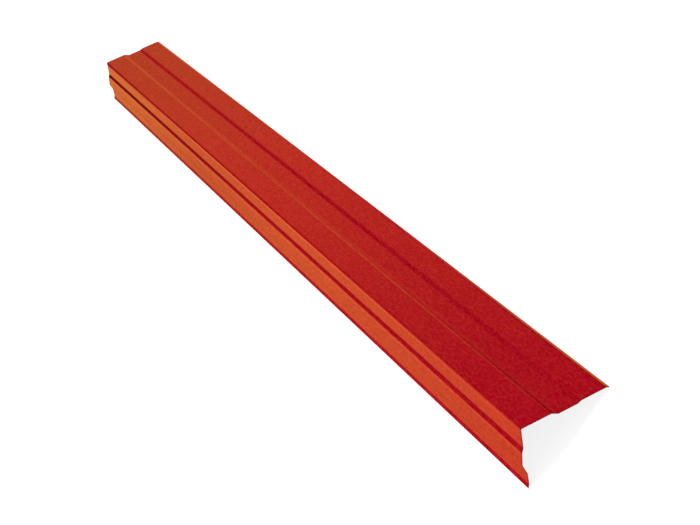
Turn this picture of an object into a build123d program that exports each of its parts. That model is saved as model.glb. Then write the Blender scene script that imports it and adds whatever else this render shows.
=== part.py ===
from build123d import *
from math import atan2, cos, degrees, radians, sin
import os

# Verge flashing: one strip of coated steel sheet, folded along its length.
# The roof flange lies on the roof covering, and the side flange hangs down
# over the board that closes the gable. Between them is the fold.
sheet_thickness = 0.5
sheet_length = 2000.0
bend_radius = 1.0  # inside every bend

# Roof flange: the width of each strip, from the fold out to the free edge,
# and the slope of each step in degrees from the plane of the flange
inner_strip = 42.5
inner_step = 9.5
inner_step_fall = 28.0
middle_strip = 26.5
outer_step = 6.5
outer_step_rise = 18.0
outer_strip = 35.5
edge_strip = 4.0
edge_fall = 22.0

# Side flange: the width of each band, from the fold down to the drip edge,
# and its lean in degrees, outwards from square to the roof flange
upper_band = 26.0
upper_lean = 10.0
ledge = 6.5
ledge_lean = 32.0
second_band = 17.0
second_lean = 15.0
setback = 13.5
setback_lean = -13.0
lower_band = 14.5
lower_lean = 8.0
drip_kick = 6.0
drip_lean = 26.0

level = 0.0
quarter_turn = 90.0


def roof_strips():
    """Width and heading of each strip of the roof flange, outwards from the fold."""
    return [
        (inner_strip, level),
        (inner_step, -inner_step_fall),
        (middle_strip, level),
        (outer_step, outer_step_rise),
        (outer_strip, level),
        (edge_strip, -edge_fall),
    ]


def side_bands():
    """Width and heading of each band of the side flange, downwards from the fold."""
    bands = [
        (upper_band, upper_lean),
        (ledge, ledge_lean),
        (second_band, second_lean),
        (setback, setback_lean),
        (lower_band, lower_lean),
        (drip_kick, drip_lean),
    ]
    return [(width, -quarter_turn - lean) for width, lean in bands]


def toward(heading, distance):
    """The step of this length on a heading in degrees, seen along the strip."""
    return Vector(distance * cos(radians(heading)), distance * sin(radians(heading)))


def corners(strips):
    """Corners of the outer face, walked strip by strip away from the fold."""
    spot = Vector(0, 0)
    walked = []
    for width, heading in strips:
        spot = spot + toward(heading, width)
        walked.append(spot)
    return walked


def outer_radii(points):
    """Radius on the outer face at each inner corner: larger where the sheet folds away from it."""
    radii = []
    for before, corner, after in zip(points, points[1:], points[2:]):
        turns_left = (corner - before).cross(after - corner).Z > 0
        radii.append(bend_radius + sheet_thickness if turns_left else bend_radius)
    return radii


def resting_turn(free_edge, drip_edge):
    """Turn that sets both lower corners of the sheet on the floor, with the fold on top."""
    free_foot = free_edge + toward(roof_strips()[-1][1] - quarter_turn, sheet_thickness)
    drip_foot = drip_edge + toward(side_bands()[-1][1] + quarter_turn, sheet_thickness)
    span = free_foot - drip_foot
    return -degrees(atan2(span.Y, span.X))


def section():
    """Cross-section of the sheet, standing on its two edges and centred."""
    roof = corners(roof_strips())
    side = corners(side_bands())
    points = list(reversed(roof)) + [Vector(0, 0)] + side
    outer_face = FilletPolyline(*points, radius=outer_radii(points))
    sheet = make_face(outer_face.offset_2d(sheet_thickness, side=Side.LEFT, closed=True))
    standing = Rot(0, 0, resting_turn(roof[-1], side[-1])) * sheet
    box = standing.bounding_box()
    return Pos(-box.center().X, -box.min.Y) * standing


def verge_flashing():
    """The section carried along its whole length, half to each side of the origin."""
    return extrude(Plane.YZ * section(), amount=sheet_length / 2, both=True)


os.makedirs("parts", exist_ok=True)
flashing = verge_flashing()
flashing.label = "verge_flashing"
export_step(flashing, "parts/verge_flashing.step")
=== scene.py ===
"""Looks of a verge flashing: one strip of red coated steel sheet, folded along its length.

The strip lies on its free edge and its drip edge, with the fold uppermost. The folded sheet is
modelled again over the plain solid, with true bends, slightly slack flats, a coated outer face,
a primed back and bare cut edges. The coat carries painted light: painted shade on the steps and
the ledge, painted shadows and highlights along the bends, and a painted warm reflection that
turns the side flange and the far end orange. Lengths are in metres and angles in degrees.
"""

import logging
import math
from collections.abc import Callable
from dataclasses import dataclass
from enum import Enum
from functools import partial

import bmesh
import bpy
from mathutils import Matrix, Vector

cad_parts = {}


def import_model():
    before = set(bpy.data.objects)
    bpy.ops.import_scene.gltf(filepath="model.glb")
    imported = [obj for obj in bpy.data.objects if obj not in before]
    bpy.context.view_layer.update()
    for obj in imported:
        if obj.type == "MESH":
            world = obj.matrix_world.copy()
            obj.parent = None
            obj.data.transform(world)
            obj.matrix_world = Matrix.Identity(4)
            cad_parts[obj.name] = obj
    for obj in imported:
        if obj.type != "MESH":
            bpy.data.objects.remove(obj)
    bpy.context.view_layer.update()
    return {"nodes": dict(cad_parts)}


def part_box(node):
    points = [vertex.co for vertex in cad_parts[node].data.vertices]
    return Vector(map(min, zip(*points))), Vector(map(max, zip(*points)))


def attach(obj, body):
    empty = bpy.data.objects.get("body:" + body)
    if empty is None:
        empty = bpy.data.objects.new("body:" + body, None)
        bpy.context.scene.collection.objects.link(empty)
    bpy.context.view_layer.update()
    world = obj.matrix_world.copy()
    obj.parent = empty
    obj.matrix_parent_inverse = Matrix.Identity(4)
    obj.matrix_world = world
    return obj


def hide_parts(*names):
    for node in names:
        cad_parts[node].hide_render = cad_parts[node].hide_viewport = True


log = logging.getLogger("verge_flashing")

SOLID_NODE = "verge_flashing"
BODY = "root"
QUARTER_TURN = 90.0
HALF_TURN = 180.0
WHOLE = (0.0, 1.0)
WHITE = (1.0, 1.0, 1.0, 1.0)
CHART_WHITE = 255
CHART_KNEE = 0.04045
CHART_SLOPE = 12.92
CHART_OFFSET = 0.055
CHART_POWER = 2.4
MASK_MIDDLE = 0.5

Colour = tuple[float, float, float, float]
Pair = tuple[float, float]
Reading = Callable[[float], Pair]


class Surface(Enum):
    """The kinds of face that the sheet shows, in the order of its material slots."""

    COAT = 0
    BACK = 1
    CUT = 2


@dataclass(frozen=True)
class PaintedLight:
    """Painted light and shade on the red coat, at equal steps from the near end of the sheet to its
    far end.

    Args:
        painted_warmth: Painted warm reflection, from 0, crimson, to 1, orange.
        shade: Painted shade, as a share of its plain brightness.
    """

    painted_warmth: tuple[float, ...]
    shade: tuple[float, ...] = (1.0, 1.0)

    def at(self, far: float) -> Pair:
        """Gives the painted warm reflection and the painted shade this share of the way to the far
        end.
        """
        return along(self.painted_warmth, far), along(self.shade, far)


def along(steps: tuple[float, ...], far: float) -> float:
    """Reads off the value this share of the way along equal steps.

    Args:
        steps: The value at each step.
        far: Share of the way, from 0 to 1.

    Returns:
        The value between its two nearest steps.
    """
    whole = min(int(far * (len(steps) - 1)), len(steps) - 2)
    part = far * (len(steps) - 1) - whole
    return (1 - part) * steps[whole] + part * steps[whole + 1]


def between(first: Pair, second: Pair, share: float) -> Pair:
    """Gives the reading that lies this share of the way from the first to the second."""
    return tuple((1 - share) * a + share * b for a, b in zip(first, second))


# Painted light and shade on the coat, for each strip and line, in steps from the near end to the
# far end
# Strips: painted shade on each strip, with a painted warm reflection that grows towards the far end
# and is strongest on the side flange and the free edge
ROOF_PAINTED_LIGHT = PaintedLight((0.01, 0.18, 0.42), (0.82, 0.94, 0.85))
INNER_STEP_PAINTED_LIGHT = PaintedLight((0.05, 0.24, 0.42), (0.88, 1.06, 1.03, 0.98, 0.90))
OUTER_STEP_PAINTED_SHADE = PaintedLight((0.00, 0.00, 0.06), (0.72, 0.67, 0.68))
DRIP_PAINTED_SHADE = PaintedLight((0.00, 0.04, 0.30), (0.72, 0.67, 0.60))
EDGE_PAINTED_LIGHT = PaintedLight((0.90, 0.12, 0.35, 1.00), (0.95, 0.90, 0.95, 1.12))
UPPER_BAND_PAINTED_LIGHT = PaintedLight((0.31, 0.50, 0.65, 1.00), (0.94, 0.90, 0.81, 0.95))
SIDE_BAND_PAINTED_LIGHT = PaintedLight((0.32, 0.51, 0.64, 0.98), (0.91, 0.88, 0.78, 0.91))
SETBACK_PAINTED_LIGHT = PaintedLight((0.37, 0.51, 0.60, 0.90), (0.97, 0.91, 0.78, 0.84))
# Lines: painted shadows in the creases, at the fold and under the ledge, and painted highlights
# along the bends
EDGE_SHADOW = PaintedLight((0.00, 0.15, 0.38), (0.52, 0.88, 0.85))
STEP_RIM_PAINTED_SHADE = PaintedLight((0.00, 0.08, 0.42), (0.72, 0.76, 0.84))
STEP_FOOT_PAINTED_SHADE = PaintedLight((0.00, 0.14, 0.00), (0.72, 0.88, 0.66))
STEP_CREASE_PAINTED_SHADOW = PaintedLight((0.00, 0.35, 0.57, 0.78), (0.28, 0.86, 1.01, 1.02))
STEP_GLINT = PaintedLight((0.05, 0.48, 0.46, 0.60, 0.80), (0.83, 0.93, 0.95, 1.02, 1.08))
FOLD_SHADOW = PaintedLight((0.00, 0.00, 0.00), (0.60, 0.56, 0.60))
FOLD_EDGE_PAINTED_SHADOW = PaintedLight((0.18, 0.00, 0.00), (0.86, 0.46, 0.40))
FOLD_WIDE_PAINTED_SHADOW = PaintedLight((0.30, 0.00, 0.00), (0.94, 0.70, 0.24))
FOLD_GLINT = PaintedLight((0.38, 0.64, 0.82, 0.40), (1.02, 1.16, 1.12, 0.36))
BAND_GLINT = PaintedLight((0.38, 0.70, 1.00), (1.02, 1.00, 1.06))
LEDGE_SHADOW = PaintedLight((0.00, 0.00), (0.64, 0.52, 0.13))
LEDGE_FOOT_PAINTED_LIGHT = PaintedLight((0.00, 0.22, 0.85), (0.70, 0.79, 0.77))


@dataclass(frozen=True)
class Line:
    """A thin line of painted shadow or painted highlight along a strip, fading out to both sides.

    Args:
        place: Its middle, from the start of the strip.
        reach: Where it has faded out, from its middle.
        tone: The painted light and shade in its middle.
    """

    place: float
    reach: float
    tone: PaintedLight


@dataclass(frozen=True)
class Strip:
    """A flat strip of the sheet between two bends, from the free edge towards the drip edge.

    Args:
        width: Size across the strip.
        slope: Degrees above the plane of the roof flange, or outward lean of the side flange.
        tone: The painted light and shade on it.
        lines: Lines of painted shadow or painted highlight along it.
    """

    width: float
    slope: float
    tone: PaintedLight
    lines: tuple[Line, ...] = ()

    def reading(self, place: float, far: float) -> Pair:
        """Reads the painted light and shade on the coat at one point.

        Args:
            place: How far it lies from the start of the strip.
            far: Its share of the way to the far end of the sheet.

        Returns:
            The painted warm reflection and the painted shade.
        """
        reading = self.tone.at(far)
        for line in self.lines:
            share = max(0.0, 1 - abs(place - line.place) / line.reach)
            reading = between(reading, line.tone.at(far), share)
        return reading

    def places(self, start: float, end: float, most: float) -> list[float]:
        """Divides the flat part of the strip: at its lines, and no wider than most.

        Args:
            start: Where the flat part starts.
            end: Where it ends.
            most: Greatest width of a slice.

        Returns:
            The end of each slice, from the start of the strip.
        """
        marks = {line.place + side * line.reach for line in self.lines for side in (-1, 0, 1)}
        marks = sorted(mark for mark in marks if start < mark < end) + [end]
        ends = []
        for mark in marks:
            slices = math.ceil((mark - start) / most)
            ends += [start + (mark - start) * index / slices for index in range(1, slices + 1)]
            start = mark
        return ends


@dataclass(frozen=True)
class Leg:
    """A strip as it lies in the section: the way that it is walked, and the strip itself."""

    heading: float
    strip: Strip

    def toward(self, distance: float) -> Vector:
        """The step of this length along the leg, across the section."""
        angle = math.radians(self.heading)
        return Vector((0.0, distance * math.cos(angle), distance * math.sin(angle)))

    def leftward(self, distance: float) -> Vector:
        """The step of this length square to the leg, towards the back of the sheet."""
        angle = math.radians(self.heading + QUARTER_TURN)
        return Vector((0.0, distance * math.cos(angle), distance * math.sin(angle)))


EDGE_STRIP = Strip(0.0040, -22.0, EDGE_PAINTED_LIGHT)
OUTER_STRIP = Strip(0.0355, 0.0, ROOF_PAINTED_LIGHT, (Line(0.0012, 0.0015, EDGE_SHADOW),))
OUTER_STEP = Strip(0.0065, 18.0, OUTER_STEP_PAINTED_SHADE, (Line(0.0, 0.0030, STEP_RIM_PAINTED_SHADE),))
MIDDLE_STRIP = Strip(0.0265, 0.0, ROOF_PAINTED_LIGHT, (Line(0.0, 0.0030, STEP_FOOT_PAINTED_SHADE),))
INNER_STEP = Strip(0.0095, -28.0, INNER_STEP_PAINTED_LIGHT, (Line(0.0080, 0.0022, STEP_CREASE_PAINTED_SHADOW),))
INNER_STRIP = Strip(
    0.0425, 0.0, ROOF_PAINTED_LIGHT, (Line(0.0018, 0.0016, STEP_GLINT), Line(0.0425, 0.0027, FOLD_SHADOW))
)
ROOF_STRIPS = (EDGE_STRIP, OUTER_STRIP, OUTER_STEP, MIDDLE_STRIP, INNER_STEP, INNER_STRIP)

UPPER_BAND_LINES = (
    Line(0.0022, 0.0036, FOLD_WIDE_PAINTED_SHADOW),
    Line(0.0046, 0.0026, FOLD_GLINT),
    Line(0.0, 0.0036, FOLD_EDGE_PAINTED_SHADOW),
    Line(0.0260, 0.0012, LEDGE_SHADOW),
)
UPPER_BAND = Strip(0.0260, 10.0, UPPER_BAND_PAINTED_LIGHT, UPPER_BAND_LINES)
LEDGE = Strip(0.0065, 32.0, LEDGE_SHADOW, (Line(0.0065, 0.0022, LEDGE_FOOT_PAINTED_LIGHT),))
SECOND_BAND = Strip(0.0170, 15.0, SIDE_BAND_PAINTED_LIGHT, (Line(0.0022, 0.0020, BAND_GLINT),))
SETBACK = Strip(0.0135, -13.0, SETBACK_PAINTED_LIGHT)
LOWER_BAND = Strip(0.0145, 8.0, SIDE_BAND_PAINTED_LIGHT)
DRIP_KICK = Strip(0.0060, 26.0, DRIP_PAINTED_SHADE)
SIDE_BANDS = (UPPER_BAND, LEDGE, SECOND_BAND, SETBACK, LOWER_BAND, DRIP_KICK)


@dataclass
class FoldedSheet:
    """The whole flashing: a sheet folded strip by strip, as a folder's blade works across it.

    Args:
        length: Length along the fold.
        thickness: Thickness of the sheet.
        bend_radius: Inside radius of every bend.
        roof: Strips of the roof flange, from the free edge to the fold.
        side: Bands of the side flange, from the fold to the drip edge.
        columns: Slices along the length.
        slice_width: Greatest width of a slice across a strip.
        bend_step: Greatest turn of one step round a bend, in degrees.
        slack: How far the widest flats stray, from one side to the other.
        slack_size: Size of the swells in them.
        tight_below: Width at which a strip starts to stray.
        loosening: How much wider it is when it strays in full.
        burr: How far the cut edges are eased.
        end_gap: How much the sheet stays short of the solid at each end.
        rim: Width of the darker rim at each end.
        rim_tone: What the rim leaves of the coat's warmth and shade.
        smooth_below: Angle in degrees up to which faces are shaded as one.
    """

    length: float
    thickness: float = 0.0005
    bend_radius: float = 0.001
    roof: tuple[Strip, ...] = ROOF_STRIPS
    side: tuple[Strip, ...] = SIDE_BANDS
    columns: int = 100
    slice_width: float = 0.007
    bend_step: float = 9.0
    slack: float = 0.0009
    slack_size: float = 0.16
    tight_below: float = 0.012
    loosening: float = 0.030
    burr: float = 0.00006
    end_gap: float = 0.0001
    rim: float = 0.005
    rim_tone: Pair = (0.5, 0.78)
    smooth_below: float = 30.0

    def legs(self) -> list[Leg]:
        """Lines up the strips from the free edge to the drip edge.

        Returns:
            The legs, with the roof flange level.
        """
        across = [Leg(HALF_TURN + strip.slope, strip) for strip in self.roof]
        down = [Leg(HALF_TURN + QUARTER_TURN - strip.slope, strip) for strip in self.side]
        return across + down

    def resting(self) -> tuple[list[Leg], Vector]:
        """Turns the legs so that both lower edges touch the floor.

        Returns:
            The turned legs, and where the walk starts: the outer corner of the free edge.
        """
        flat = self.legs()
        end = sum((leg.toward(leg.strip.width) for leg in flat), Vector())
        span = end + flat[-1].leftward(self.thickness) - flat[0].leftward(self.thickness)
        turn = HALF_TURN - math.degrees(math.atan2(span.z, span.y))
        turned = [Leg(leg.heading + turn, leg.strip) for leg in flat]
        end = sum((leg.toward(leg.strip.width) for leg in turned), Vector())
        foot = turned[0].leftward(self.thickness)
        return turned, Vector((0.0, -end.y / 2, -foot.z))

    def fold(self) -> bpy.types.Object:
        """Extrudes and spins one edge across the section.

        Returns:
            The outer face of the sheet, as a mesh object at the origin.
        """
        sheet = self.first_edge()
        legs, spot = self.resting()
        bpy.ops.transform.translate(value=spot)
        self.mark(sheet, partial(legs[0].strip.reading, 0.0))
        start = 0.0
        for leg, after in zip(legs, legs[1:] + [None]):
            turn = after.heading - leg.heading if after else 0.0
            radius = self.bend_radius + (self.thickness if turn > 0 else 0.0)
            trim = radius * math.tan(math.radians(abs(turn) / 2))
            end = leg.strip.width - trim
            spot = self.flat(sheet, leg, start, end, spot)
            if after:
                spot = self.bend(sheet, leg, after, radius, spot)
            start = trim
        bpy.ops.object.mode_set(mode="OBJECT")
        return sheet

    def first_edge(self) -> bpy.types.Object:
        """Makes the edge that the sheet is drawn from, divided along its length and at its rims.

        Returns:
            A row of edges as long as the sheet, in edit mode and selected.
        """
        span = self.length - 2 * self.end_gap
        bpy.ops.object.select_all(action="DESELECT")
        bpy.ops.mesh.primitive_grid_add(x_subdivisions=self.columns, y_subdivisions=1, size=span)
        sheet = bpy.context.object
        sheet.name = "folded_sheet"
        # Painted warm reflection, painted shade, and the share of a bend, for each vertex
        for name in ("painted_warmth", "shade", "bend"):
            sheet.data.attributes.new(name, "FLOAT", "POINT")
        sheet.vertex_groups.new(name="slack")
        bpy.ops.object.mode_set(mode="EDIT")
        bpy.ops.mesh.select_all(action="DESELECT")
        mesh = bmesh.from_edit_mesh(sheet.data)
        pitch = span / self.columns
        for vertex in mesh.verts:
            vertex.select = vertex.co.y > 0
            from_end = span / 2 - abs(vertex.co.x)
            if round(from_end / pitch) == 1:
                vertex.co.x = math.copysign(span / 2 - self.rim, vertex.co.x)
        mesh.select_flush_mode()
        bmesh.update_edit_mesh(sheet.data)
        bpy.ops.mesh.delete(type="VERT")
        bpy.ops.mesh.select_all(action="SELECT")
        bpy.ops.transform.translate(value=(0.0, span / 2, 0.0))
        return sheet

    def flat(
        self, sheet: bpy.types.Object, leg: Leg, start: float, end: float, spot: Vector
    ) -> Vector:
        """Extrudes the flat part of one strip in slices.

        Args:
            sheet: The sheet, in edit mode with its leading edge selected.
            leg: The strip.
            start: Where the flat part starts, from the start of the strip.
            end: Where it ends.
            spot: Where the leading edge is.

        Returns:
            Where the leading edge is afterwards.
        """
        strip = leg.strip
        looseness = min(1.0, max(0.0, (strip.width - self.tight_below) / self.loosening))
        place = start
        for mark in strip.places(start, end, self.slice_width):
            step = {"value": leg.toward(mark - place)}
            bpy.ops.mesh.extrude_edges_move(TRANSFORM_OT_translate=step)
            bulge = looseness * math.sin(math.pi * (mark - start) / (end - start))
            self.mark(sheet, partial(strip.reading, mark), looseness=bulge)
            place = mark
        return spot + leg.toward(end - start)

    def bend(
        self, sheet: bpy.types.Object, leg: Leg, after: Leg, radius: float, spot: Vector
    ) -> Vector:
        """Spins the leading edge round one bend, a small step at a time.

        Args:
            sheet: The sheet, in edit mode with its leading edge selected.
            leg: The strip before the bend.
            after: The strip after it.
            radius: Radius of the outer face.
            spot: Where the leading edge is.

        Returns:
            Where the leading edge is afterwards.
        """
        turn = after.heading - leg.heading
        reach = math.copysign(radius, turn)
        centre = spot + leg.leftward(reach)
        steps = math.ceil(abs(turn) / self.bend_step) + 1
        angle = -math.radians(turn / steps)
        for index in range(1, steps + 1):
            bpy.ops.mesh.spin(steps=1, angle=angle, center=centre, axis=(1, 0, 0))
            share = index / steps
            reading = partial(self.turning, leg.strip, after.strip, share)
            self.mark(sheet, reading, bend=math.sin(math.pi * share))
        return centre - after.leftward(reach)

    def turning(self, before: Strip, after: Strip, share: float, far: float) -> Pair:
        """Reads the painted light and shade inside a bend.

        Args:
            before: The strip before the bend.
            after: The strip after it.
            share: How much of the bend is done.
            far: Share of the way to the far end of the sheet.

        Returns:
            The warmth and the shade.
        """
        return between(before.reading(before.width, far), after.reading(0.0, far), share)

    def mark(
        self, sheet: bpy.types.Object, reading: Reading, bend: float = 0.0, looseness: float = 0.0
    ) -> None:
        """Writes on the leading edge the painted light and shade there, and how free the sheet is.

        Args:
            sheet: The sheet, in edit mode with its leading edge selected.
            reading: Painted warm reflection and painted shade for a share of the way to the far
                end.
            bend: How far the edge is inside a bend, from 0 to 1.
            looseness: How far the sheet can stray from its plane, from 0 to 1.
        """
        mesh = bmesh.from_edit_mesh(sheet.data)
        slack = mesh.verts.layers.deform.verify()
        painted_warmths = mesh.verts.layers.float["painted_warmth"]
        shades = mesh.verts.layers.float["shade"]
        bends = mesh.verts.layers.float["bend"]
        for vertex in mesh.verts:
            if vertex.select:
                far = 0.5 - vertex.co.x / self.length
                vertex[painted_warmths], vertex[shades] = reading(min(1.0, max(0.0, far)))
                if self.length / 2 - abs(vertex.co.x) < self.rim / 2:
                    vertex[painted_warmths] *= self.rim_tone[0]
                    vertex[shades] *= self.rim_tone[1]
                vertex[bends] = bend
                vertex[slack][0] = looseness
        bmesh.update_edit_mesh(sheet.data)

    def relax(self, sheet: bpy.types.Object) -> None:
        """Lets the wide flats stray a little from their planes, as thin sheet does.

        Args:
            sheet: The sheet, in object mode.
        """
        ripple = bpy.data.textures.new("ripple", "CLOUDS")
        ripple.noise_scale = self.slack_size
        modifier = sheet.modifiers.new("slack", "DISPLACE")
        modifier.texture = ripple
        modifier.strength = self.slack
        modifier.vertex_group = "slack"
        bpy.ops.object.modifier_apply(modifier=modifier.name)
        sheet.vertex_groups.clear()

    def thicken(self, sheet: bpy.types.Object) -> None:
        """Adds the back of the sheet behind the outer face, and the cut edges between them.

        Args:
            sheet: The sheet, in object mode.
        """
        modifier = sheet.modifiers.new("thickness", "SOLIDIFY")
        modifier.thickness = self.thickness
        modifier.offset = -1.0
        modifier.use_even_offset = True
        modifier.material_offset = Surface.BACK.value
        modifier.material_offset_rim = Surface.CUT.value
        bpy.ops.object.modifier_apply(modifier=modifier.name)

    def ease_edges(self, sheet: bpy.types.Object) -> None:
        """Takes the sharpness off the cut edges all round the sheet.

        Args:
            sheet: The sheet, in object mode.
        """
        bpy.ops.object.mode_set(mode="EDIT")
        bpy.ops.mesh.select_mode(type="FACE")
        bpy.ops.mesh.select_all(action="DESELECT")
        mesh = bmesh.from_edit_mesh(sheet.data)
        for face in mesh.faces:
            face.select = face.material_index == Surface.CUT.value
        bmesh.update_edit_mesh(sheet.data)
        bpy.ops.mesh.region_to_loop()
        bpy.ops.mesh.bevel(offset=self.burr, segments=1, material=Surface.CUT.value)
        bpy.ops.object.mode_set(mode="OBJECT")
        bpy.ops.object.shade_smooth_by_angle(angle=math.radians(self.smooth_below))

    def build(self, finishes: list[bpy.types.Material]) -> bpy.types.Object:
        """Makes the sheet and dresses each kind of face.

        Args:
            finishes: The materials, in the order of Surface.

        Returns:
            The finished piece.
        """
        sheet = self.fold()
        for finish in finishes:
            sheet.data.materials.append(finish)
        self.relax(sheet)
        self.thicken(sheet)
        self.ease_edges(sheet)
        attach(sheet, BODY)
        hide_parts(SOLID_NODE)
        return sheet


class Graph:
    """Short calls for filling a node tree."""

    def __init__(self, tree: bpy.types.NodeTree) -> None:
        """Takes the tree to fill.

        Args:
            tree: A material's, a world's or a group's node tree.
        """
        self.tree = tree

    def add(self, kind: str, settings: dict | None = None, **inputs: object) -> bpy.types.Node:
        """Adds a node.

        Args:
            kind: The node's type, without its ShaderNode prefix.
            settings: Attributes to set on it.
            inputs: Values or output sockets for its inputs, with _ for a space in the name.

        Returns:
            The new node.
        """
        node = self.tree.nodes.new("ShaderNode" + kind)
        for name, value in (settings or {}).items():
            setattr(node, name, value)
        for name, value in inputs.items():
            self.feed(node.inputs[name.replace("_", " ")], value)
        return node

    def feed(self, socket: bpy.types.NodeSocket, value: object) -> None:
        """Links a socket to an output, or sets its value.

        Args:
            socket: The input socket.
            value: An output socket, or a plain value.
        """
        if isinstance(value, bpy.types.NodeSocket):
            self.tree.links.new(value, socket)
        else:
            socket.default_value = value

    def group(self, tree: bpy.types.NodeTree, **inputs: object) -> bpy.types.NodeSocket:
        """Places a node group.

        Args:
            tree: The group.
            inputs: Values or output sockets for its inputs.

        Returns:
            Its first output.
        """
        return self.add("Group", {"node_tree": tree}, **inputs).outputs[0]

    def mix(
        self, factor: object, first: object, second: object, blend: str = "MIX"
    ) -> bpy.types.NodeSocket:
        """Mixes two colours.

        Args:
            factor: Share of the second colour.
            first: The first colour.
            second: The second colour.
            blend: Name of the way of blending.

        Returns:
            The mixed colour's output.
        """
        node = self.add("Mix", {"data_type": "RGBA", "blend_type": blend})
        slots = {socket.identifier: socket for socket in node.inputs}
        self.feed(slots["Factor_Float"], factor)
        self.feed(slots["A_Color"], first)
        self.feed(slots["B_Color"], second)
        return next(socket for socket in node.outputs if socket.identifier == "Result_Color")

    def calc(self, operation: str, *values: object) -> bpy.types.NodeSocket:
        """Works out one number from others.

        Args:
            operation: Name of the sum.
            values: Its terms.

        Returns:
            The result's output.
        """
        node = self.add("Math", {"operation": operation})
        for socket, value in zip(node.inputs, values):
            self.feed(socket, value)
        return node.outputs[0]

    def spread(self, value: object, source: Pair, target: Pair) -> bpy.types.NodeSocket:
        """Maps one range of values to another, and keeps it inside.

        Args:
            value: What is mapped.
            source: Its lowest and highest value.
            target: What they become.

        Returns:
            The mapped value's output.
        """
        node = self.add("MapRange", Value=value, From_Min=source[0], From_Max=source[1])
        self.feed(node.inputs["To Min"], target[0])
        self.feed(node.inputs["To Max"], target[1])
        return node.outputs[0]

    def stray(self, mask: object, most: float, middle: float = 0.0) -> bpy.types.NodeSocket:
        """Gives a value that strays from its middle as the mask does from one half."""
        return self.spread(mask, WHOLE, (middle - most, middle + most))

    def read(self, name: str) -> bpy.types.NodeSocket:
        """Reads a value that is written on the mesh under this name."""
        return self.add("Attribute", {"attribute_name": name}).outputs["Fac"]


def paint(red: int, green: int, blue: int) -> Colour:
    """Turns a colour, as a paint chart writes it, into the light that it gives back.

    Args:
        red: From 0 to 255.
        green: From 0 to 255.
        blue: From 0 to 255.

    Returns:
        Red, green, blue and alpha from 0 to 1.
    """
    light = []
    for part in Vector((red, green, blue)) / CHART_WHITE:
        if part > CHART_KNEE:
            light.append(((part + CHART_OFFSET) / (1 + CHART_OFFSET)) ** CHART_POWER)
        else:
            light.append(part / CHART_SLOPE)
    return (*light, 1.0)


def open_group(
    name: str, inputs: dict[str, str], outputs: dict[str, str]
) -> tuple[Graph, bpy.types.NodeOutputs, bpy.types.NodeInputs]:
    """Starts a node group with named sockets.

    Args:
        name: The group's name.
        inputs: Socket type of each input.
        outputs: Socket type of each output.

    Returns:
        The graph to fill, the sockets that bring the inputs, and the sockets that take the outputs.
    """
    tree = bpy.data.node_groups.new(name, "ShaderNodeTree")
    for title, kind in inputs.items():
        tree.interface.new_socket(title, in_out="INPUT", socket_type="NodeSocket" + kind)
    for title, kind in outputs.items():
        tree.interface.new_socket(title, in_out="OUTPUT", socket_type="NodeSocket" + kind)
    source = tree.nodes.new("NodeGroupInput")
    drain = tree.nodes.new("NodeGroupOutput")
    return Graph(tree), source.outputs, drain.inputs


def mottle_group(detail: float = 3.0, roughness: float = 0.6) -> bpy.types.NodeTree:
    """Builds cloudy variation that is drawn out along the sheet.

    Args:
        detail: Levels of finer cloud within the cloud.
        roughness: How strong each finer level is.

    Returns:
        The node group, whose Mask strays from one half by its Contrast.
    """
    graph, given, result = open_group(
        "mottle",
        {"Position": "Vector", "Scale": "Float", "Along": "Float", "Contrast": "Float"},
        {"Mask": "Float"},
    )
    pull = graph.add("CombineXYZ", X=given["Along"], Y=1.0, Z=1.0)
    drawn = graph.add("VectorMath", {"operation": "MULTIPLY"})
    graph.feed(drawn.inputs[0], given["Position"])
    graph.feed(drawn.inputs[1], pull.outputs["Vector"])
    cloud = graph.add("TexNoise", Vector=drawn.outputs[0], Scale=given["Scale"])
    graph.feed(cloud.inputs["Detail"], detail)
    graph.feed(cloud.inputs["Roughness"], roughness)
    stray = graph.calc("SUBTRACT", cloud.outputs["Fac"], MASK_MIDDLE)
    mask = graph.calc("MULTIPLY_ADD", stray, given["Contrast"], MASK_MIDDLE)
    graph.feed(result["Mask"], mask)
    return graph.tree


@dataclass(frozen=True)
class Mottle:
    """Cloudy variation of one size over a finish.

    Args:
        scale: About how many clouds lie in a metre.
        along: Share of that number along the sheet, where they are drawn out.
        contrast: How far its mask strays from one half.
    """

    scale: float
    along: float
    contrast: float

    def mask(
        self, graph: Graph, mottle: bpy.types.NodeTree, place: bpy.types.NodeSocket
    ) -> bpy.types.NodeSocket:
        """Places the variation in a material.

        Args:
            graph: The material's graph.
            mottle: The node group that makes it.
            place: Where on the sheet it is read.

        Returns:
            The mask's output.
        """
        inputs = {"Scale": self.scale, "Along": self.along, "Contrast": self.contrast}
        return graph.group(mottle, Position=place, **inputs)


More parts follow.
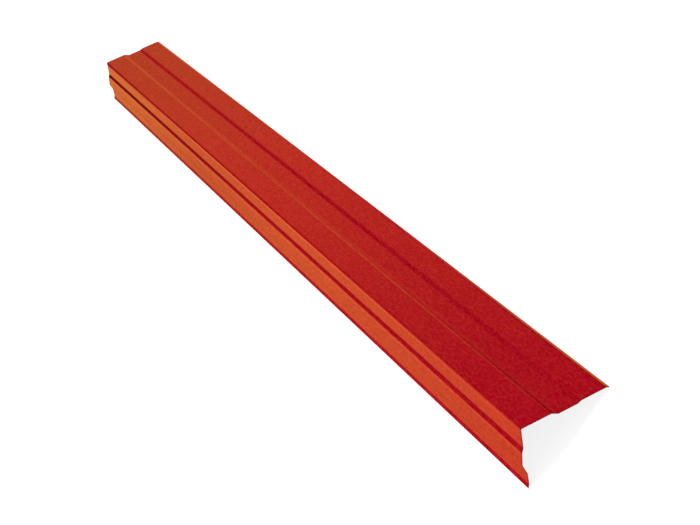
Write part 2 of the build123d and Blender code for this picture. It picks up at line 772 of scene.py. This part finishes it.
@dataclass(frozen=True)
class RedCoat:
    """The satin red coat of the outer face, with the painted light and shade that the mesh carries.

    Args:
        crimson: The coat at no warmth.
        orange: The coat under the full painted warm reflection.
        haze: What dulls it where it is hazy or scuffed.
        roughness: Least and most of its roughness.
        sheen: Share of the light that it mirrors, in its own red.
        glare: Colour of what it mirrors at a low angle.
        broad: Slow change along the sheet.
        patch: Patches of a few centimetres.
        grain: The fine speckle of the coat.
        haze_from: Value of the grain's mask from which it is hazy.
        scuff: Faint rubbing marks along the sheet.
        scuff_from: Value of their mask from which they show.
        peel: The slight unevenness of sprayed paint.
        broad_drift: How far the warmth strays slowly.
        patch_drift: How far it strays from patch to patch.
        broad_light: How far the brightness strays slowly.
        grain_light: How far it strays in the speckle.
        grain_haze: Most haze in the speckle.
        scuff_haze: Most haze in a rubbing mark.
        bend_polish: How much smoother the coat is where it is stretched over a bend.
        peel_strength: Strength of the unevenness.
        peel_depth: Its depth.
    """

    crimson: Colour = paint(188, 1, 31)
    orange: Colour = paint(202, 109, 52)
    haze: Colour = paint(225, 130, 105)
    roughness: Pair = (0.36, 0.52)
    sheen: float = 0.15
    glare: Colour = (1.0, 0.12, 0.08, 1.0)
    broad: Mottle = Mottle(9.0, 1.0, 1.0)
    patch: Mottle = Mottle(110.0, 0.4, 1.5)
    grain: Mottle = Mottle(330.0, 0.4, 1.8)
    haze_from: float = 0.3
    scuff: Mottle = Mottle(900.0, 0.012, 1.5)
    scuff_from: float = 0.7
    peel: Mottle = Mottle(700.0, 0.6, 1.0)
    broad_drift: float = 0.02
    patch_drift: float = 0.03
    broad_light: float = 0.04
    grain_light: float = 0.20
    grain_haze: float = 0.06
    scuff_haze: float = 0.04
    bend_polish: float = 0.1
    peel_strength: float = 0.25
    peel_depth: float = 0.0001

    def material(self, mottle: bpy.types.NodeTree) -> bpy.types.Material:
        """Builds the coat.

        Args:
            mottle: The node group of cloudy variation.

        Returns:
            The material.
        """
        material, graph, shader = new_material("red_coat_painted_light")
        place = graph.add("TexCoord").outputs["Object"]
        broad = self.broad.mask(graph, mottle, place)
        patch = self.patch.mask(graph, mottle, place)
        grain = self.grain.mask(graph, mottle, place)
        scuff = self.scuff.mask(graph, mottle, place)
        peel = self.peel.mask(graph, mottle, place)
        # Painted warm reflection and painted shade from the mesh, with slow and patchy random drift
        # added
        painted_warmth = graph.calc("ADD", graph.read("painted_warmth"), graph.stray(broad, self.broad_drift))
        painted_warmth = graph.calc("ADD", painted_warmth, graph.stray(patch, self.patch_drift))
        clouded = graph.stray(broad, self.broad_light, 1.0)
        shade = graph.calc("MULTIPLY", graph.read("shade"), clouded)
        shade = graph.calc("MULTIPLY", shade, graph.stray(grain, self.grain_light, 1.0))
        # The coat's own crimson mixed towards the painted warm reflection, then darkened by the
        # painted shade
        hue = graph.mix(painted_warmth, self.crimson, self.orange)
        hue = graph.mix(1.0, hue, shade, "MULTIPLY")
        hazy = graph.spread(grain, (self.haze_from, 1.0), (0.0, self.grain_haze))
        rubbed = graph.spread(scuff, (self.scuff_from, 1.0), (0.0, self.scuff_haze))
        hue = graph.mix(graph.calc("ADD", hazy, rubbed), hue, self.haze)
        graph.feed(shader.inputs["Base Color"], hue)
        rough = graph.spread(grain, WHOLE, self.roughness)
        rough = graph.calc("MULTIPLY_ADD", graph.read("bend"), -self.bend_polish, rough)
        graph.feed(shader.inputs["Roughness"], rough)
        bump = graph.add("Bump", Height=peel, Strength=self.peel_strength)
        graph.feed(bump.inputs["Distance"], self.peel_depth)
        graph.feed(shader.inputs["Normal"], bump.outputs["Normal"])
        shader.inputs["Metallic"].default_value = self.sheen
        shader.inputs["Specular Tint"].default_value = self.glare
        shader.inputs["Specular IOR Level"].default_value = 0.0
        return material


@dataclass(frozen=True)
class BackPrimer:
    """The thin matt primer on the hidden face.

    Args:
        colour: The primer where it is thick.
        stain: The primer where it is thin or stained.
        roughness: Least and most of its roughness.
        specular: Its gloss.
        broad: Slow change of thickness.
        fine: The fine speckle of the primer.
        roller: Faint roller marks along the sheet.
        roller_from: Value of their mask from which they show.
        broad_stain: Most stain in the slow change.
        roller_stain: Most stain in a roller mark.
        fine_light: How far the brightness strays in the speckle.
        bump_strength: Strength of the unevenness.
        bump_depth: Its depth.
    """

    colour: Colour = paint(176, 174, 168)
    stain: Colour = paint(150, 147, 140)
    roughness: Pair = (0.55, 0.75)
    specular: float = 0.3
    broad: Mottle = Mottle(14.0, 0.5, 1.4)
    fine: Mottle = Mottle(420.0, 0.4, 1.0)
    roller: Mottle = Mottle(500.0, 0.012, 1.5)
    roller_from: float = 0.6
    broad_stain: float = 0.8
    roller_stain: float = 0.45
    fine_light: float = 0.12
    bump_strength: float = 0.2
    bump_depth: float = 0.0001

    def material(self, mottle: bpy.types.NodeTree) -> bpy.types.Material:
        """Builds the primer.

        Args:
            mottle: The node group of cloudy variation.

        Returns:
            The material.
        """
        material, graph, shader = new_material("back_primer")
        place = graph.add("TexCoord").outputs["Object"]
        broad = self.broad.mask(graph, mottle, place)
        fine = self.fine.mask(graph, mottle, place)
        roller = self.roller.mask(graph, mottle, place)
        hue = graph.mix(graph.calc("MULTIPLY", broad, self.broad_stain), self.colour, self.stain)
        hue = graph.mix(1.0, hue, graph.stray(fine, self.fine_light, 1.0), "MULTIPLY")
        rolled = graph.spread(roller, (self.roller_from, 1.0), (0.0, self.roller_stain))
        graph.feed(shader.inputs["Base Color"], graph.mix(rolled, hue, self.stain))
        graph.feed(shader.inputs["Roughness"], graph.spread(fine, WHOLE, self.roughness))
        bump = graph.add("Bump", Height=fine, Strength=self.bump_strength)
        graph.feed(bump.inputs["Distance"], self.bump_depth)
        graph.feed(shader.inputs["Normal"], bump.outputs["Normal"])
        shader.inputs["Specular IOR Level"].default_value = self.specular
        return material


@dataclass(frozen=True)
class CutSteel:
    """The sheared edge: steel drawn over by the coat on its outer side.

    Args:
        colour: The coat that the shear has drawn down.
        smear: Where the steel shows through it.
        roughness: Least and most of its roughness.
        metallic: How much of it is bare metal.
        specular: Its gloss.
        patch: How the two are spread.
    """

    colour: Colour = paint(112, 14, 22)
    smear: Colour = paint(104, 58, 56)
    roughness: Pair = (0.45, 0.65)
    metallic: float = 0.1
    specular: float = 0.1
    patch: Mottle = Mottle(600.0, 1.0, 2.0)

    def material(self, mottle: bpy.types.NodeTree) -> bpy.types.Material:
        """Builds the edge.

        Args:
            mottle: The node group of cloudy variation.

        Returns:
            The material.
        """
        material, graph, shader = new_material("cut_steel")
        patch = self.patch.mask(graph, mottle, graph.add("TexCoord").outputs["Object"])
        graph.feed(shader.inputs["Base Color"], graph.mix(patch, self.colour, self.smear))
        graph.feed(shader.inputs["Roughness"], graph.spread(patch, WHOLE, self.roughness))
        shader.inputs["Metallic"].default_value = self.metallic
        shader.inputs["Specular IOR Level"].default_value = self.specular
        return material


def new_material(name: str) -> tuple[bpy.types.Material, Graph, bpy.types.Node]:
    """Starts a material.

    Args:
        name: Its name.

    Returns:
        The material, the graph to fill and its surface shader.
    """
    material = bpy.data.materials.new(name)
    material.use_nodes = True
    graph = Graph(material.node_tree)
    return material, graph, material.node_tree.nodes["Principled BSDF"]


@dataclass(frozen=True)
class Lamp:
    """A soft, white and square lamp.

    Args:
        name: Its name.
        place: Where it hangs.
        target: The point that it faces.
        size: Side of its square.
        power: Its power in watts.
    """

    name: str
    place: tuple[float, float, float]
    target: tuple[float, float, float]
    size: float
    power: float

    def hang(self) -> None:
        """Adds the lamp to the scene."""
        light = bpy.data.lights.new(self.name, "AREA")
        light.size = self.size
        light.energy = self.power
        lamp = bpy.data.objects.new(self.name, light)
        lamp.location = self.place
        view = Vector(self.target) - Vector(self.place)
        lamp.rotation_euler = view.to_track_quat("-Z", "Y").to_euler()
        bpy.context.scene.collection.objects.link(lamp)


@dataclass
class Studio:
    """A plain pale floor, soft lamps, a white surround and the camera.

    Args:
        floor_size: Side of the floor.
        floor_colour: Its colour.
        floor_glow: Even white that it adds for the eye.
        floor_shading: Share of its own shading that the eye is left with.
        ambient: Strength of the soft light from all round.
        lamps: The lamps.
        eye: Where the camera is.
        target: The point that it looks at.
        roll: Its roll about the line of sight.
        focal_length: Its focal length in millimetres.
    """

    floor_size: float = 30.0
    floor_colour: Colour = paint(226, 226, 226)
    floor_glow: float = 0.84
    floor_shading: float = 0.40
    ambient: float = 0.55
    lamps: tuple[Lamp, ...] = (
        Lamp("overhead", place=(-0.3, 0.5, 3.0), target=(-0.2, 0.0, 0.0), size=2.0, power=45.0),
        Lamp("side", place=(-0.1, -2.6, 1.3), target=(0.0, 0.0, 0.0), size=2.0, power=45.0),
    )
    eye: tuple[float, float, float] = (2.7400, 0.0528, 1.3369)
    target: tuple[float, float, float] = (0.3524, -0.0115, 0.0300)
    roll: float = 52.35
    focal_length: float = 92.83

    def floor(self) -> bpy.types.Object:
        """Lays the floor under the object.

        Returns:
            The floor.
        """
        bpy.ops.object.select_all(action="DESELECT")
        bpy.ops.mesh.primitive_plane_add(size=self.floor_size)
        floor = bpy.context.object
        floor.name = "floor"
        material, graph, shader = new_material("pale_floor")
        shading = graph.spread(self.seen(graph), WHOLE, (1.0, self.floor_shading))
        hue = graph.mix(1.0, self.floor_colour, shading, "MULTIPLY")
        graph.feed(shader.inputs["Base Color"], hue)
        shader.inputs["Roughness"].default_value = 1.0
        shader.inputs["Specular IOR Level"].default_value = 0.0
        shader.inputs["Emission Color"].default_value = WHITE
        glow = graph.calc("MULTIPLY", self.seen(graph), self.floor_glow)
        graph.feed(shader.inputs["Emission Strength"], glow)
        floor.data.materials.append(material)
        return floor

    def seen(self, graph: Graph) -> bpy.types.NodeSocket:
        """Tells looking from the gathering of light.

        Args:
            graph: The graph of the floor or the surround.

        Returns:
            One where the eye, a reflection or a glass looks on, and nought otherwise.
        """
        path = graph.add("LightPath").outputs
        mirrored = graph.calc("MAXIMUM", path["Is Camera Ray"], path["Is Glossy Ray"])
        return graph.calc("MAXIMUM", mirrored, path["Is Transmission Ray"])

    def surround(self) -> None:
        """Lights the scene softly from all round, and shows white to the eye and in reflections."""
        world = bpy.data.worlds.new("surround")
        bpy.context.scene.world = world
        world.use_nodes = True
        world.node_tree.nodes.clear()
        graph = Graph(world.node_tree)
        soft = graph.add("Background", Color=WHITE, Strength=self.ambient)
        white = graph.add("Background", Color=WHITE, Strength=1.0)
        mix = graph.add("MixShader")
        graph.feed(mix.inputs[0], self.seen(graph))
        graph.feed(mix.inputs[1], soft.outputs[0])
        graph.feed(mix.inputs[2], white.outputs[0])
        output = graph.add("OutputWorld")
        graph.feed(output.inputs["Surface"], mix.outputs[0])

    def camera(self) -> None:
        """Puts the camera where the photograph was taken from, rolled as the photograph is."""
        lens = bpy.data.cameras.new("camera")
        lens.lens = self.focal_length
        camera = bpy.data.objects.new("camera", lens)
        bpy.context.scene.collection.objects.link(camera)
        eye = Vector(self.eye)
        level = (Vector(self.target) - eye).to_track_quat("-Z", "Y").to_matrix().to_4x4()
        roll = Matrix.Rotation(math.radians(-self.roll), 4, "Z")
        camera.matrix_world = Matrix.Translation(eye) @ level @ roll
        bpy.context.scene.camera = camera

    def build(self) -> None:
        """Sets up the whole studio."""
        self.floor()
        for lamp in self.lamps:
            lamp.hang()
        self.surround()
        self.camera()
        bpy.context.scene.view_settings.view_transform = "Standard"


def main() -> None:
    """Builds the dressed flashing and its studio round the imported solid."""
    logging.basicConfig(level=logging.INFO, format="%(name)s: %(message)s")
    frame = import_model()
    log.info("solids: %s", ", ".join(frame["nodes"]))
    mottle = mottle_group()
    finishes = [finish.material(mottle) for finish in (RedCoat(), BackPrimer(), CutSteel())]
    low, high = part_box(SOLID_NODE)
    sheet = FoldedSheet(high.x - low.x).build(finishes)
    log.info("%s: %d faces", sheet.name, len(sheet.data.polygons))
    Studio().build()


if __name__ == "__main__":
    main()
